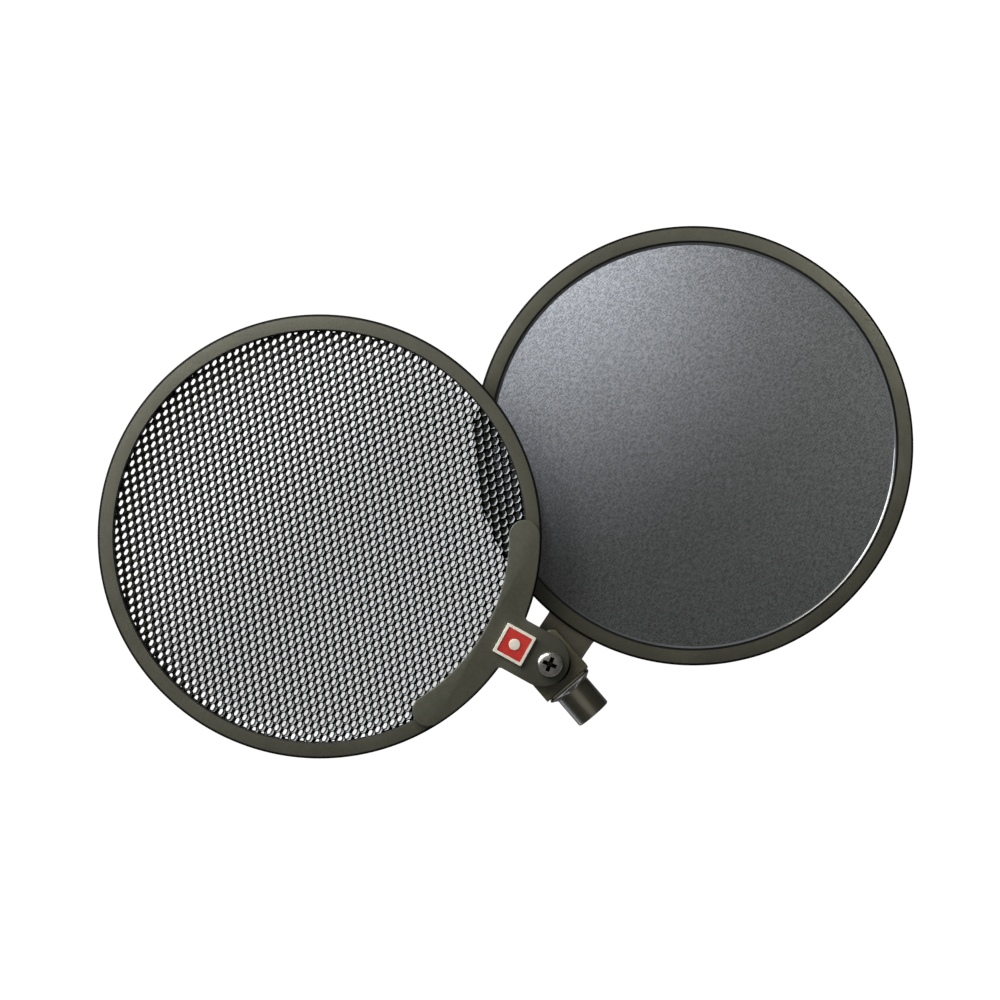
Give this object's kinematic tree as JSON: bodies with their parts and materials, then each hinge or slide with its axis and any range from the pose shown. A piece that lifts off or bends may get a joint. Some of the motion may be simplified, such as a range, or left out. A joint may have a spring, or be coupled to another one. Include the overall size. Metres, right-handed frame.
{
  "type": "pop filter",
  "caption": "Round metal mesh screen and round fabric screen in slim rims, each on a flat crescent bracket and arm, fanned about one pivot block with a short gooseneck ferrule.",
  "frame": {"origin": "centre of the ferrule's open end, where the gooseneck goes in", "axes": "+Z along the pivot screw towards its head, out of the screens' front faces; +Y from the ferrule's open end into the pivot block"},
  "size_m": [0.293, 0.2303, 0.0353],
  "materials": {
    "block_paint": "satin black",
    "gloss_black": "gloss black",
    "dark_steel": "black nickel",
    "black_nylon": "matt",
    "zinc_steel": "zinc plated",
    "arm_paint": "satin black",
    "rim_plastic": "satin black",
    "mesh_lacquer": "black lacquer",
    "cream_enamel": "satin",
    "red_enamel": "satin",
    "woven_fabric": "fine woven nylon",
    "hoop_plastic": "matt"
  },
  "bodies": {
    "pivot": {"pivot_block": "block_paint", "gooseneck_ferrule": "gloss_black", "ferrule_set_screw": "dark_steel", "pivot_screw": "dark_steel", "front_friction_washer": "black_nylon", "rear_friction_washer": "black_nylon", "rear_flat_washer": "zinc_steel", "spring_washer": "zinc_steel", "pivot_nut": "zinc_steel"},
    "metal_filter": {"metal_filter_bracket": "arm_paint", "metal_filter_front_rim": "rim_plastic", "metal_filter_rear_rim": "rim_plastic", "metal_mesh": "mesh_lacquer", "badge_plate": "cream_enamel", "badge_enamel": "red_enamel"},
    "fabric_filter": {"fabric_filter_bracket": "arm_paint", "fabric_filter_front_rim": "rim_plastic", "fabric_filter_rear_rim": "rim_plastic", "fabric_membrane": "woven_fabric", "fabric_hoop": "hoop_plastic"}
  },
  "joints": [
    {"name": "metal_filter_swing", "type": "hinge", "parent": "pivot", "child": "metal_filter", "pos_m": [0, 0.0257, 0], "axis": [0, 0, 1], "range_deg": [-130, 89]},
    {"name": "fabric_filter_swing", "type": "hinge", "parent": "pivot", "child": "fabric_filter", "pos_m": [0, 0.0257, 0], "axis": [0, 0, 1], "range_deg": [-35, 184]}
  ]
}
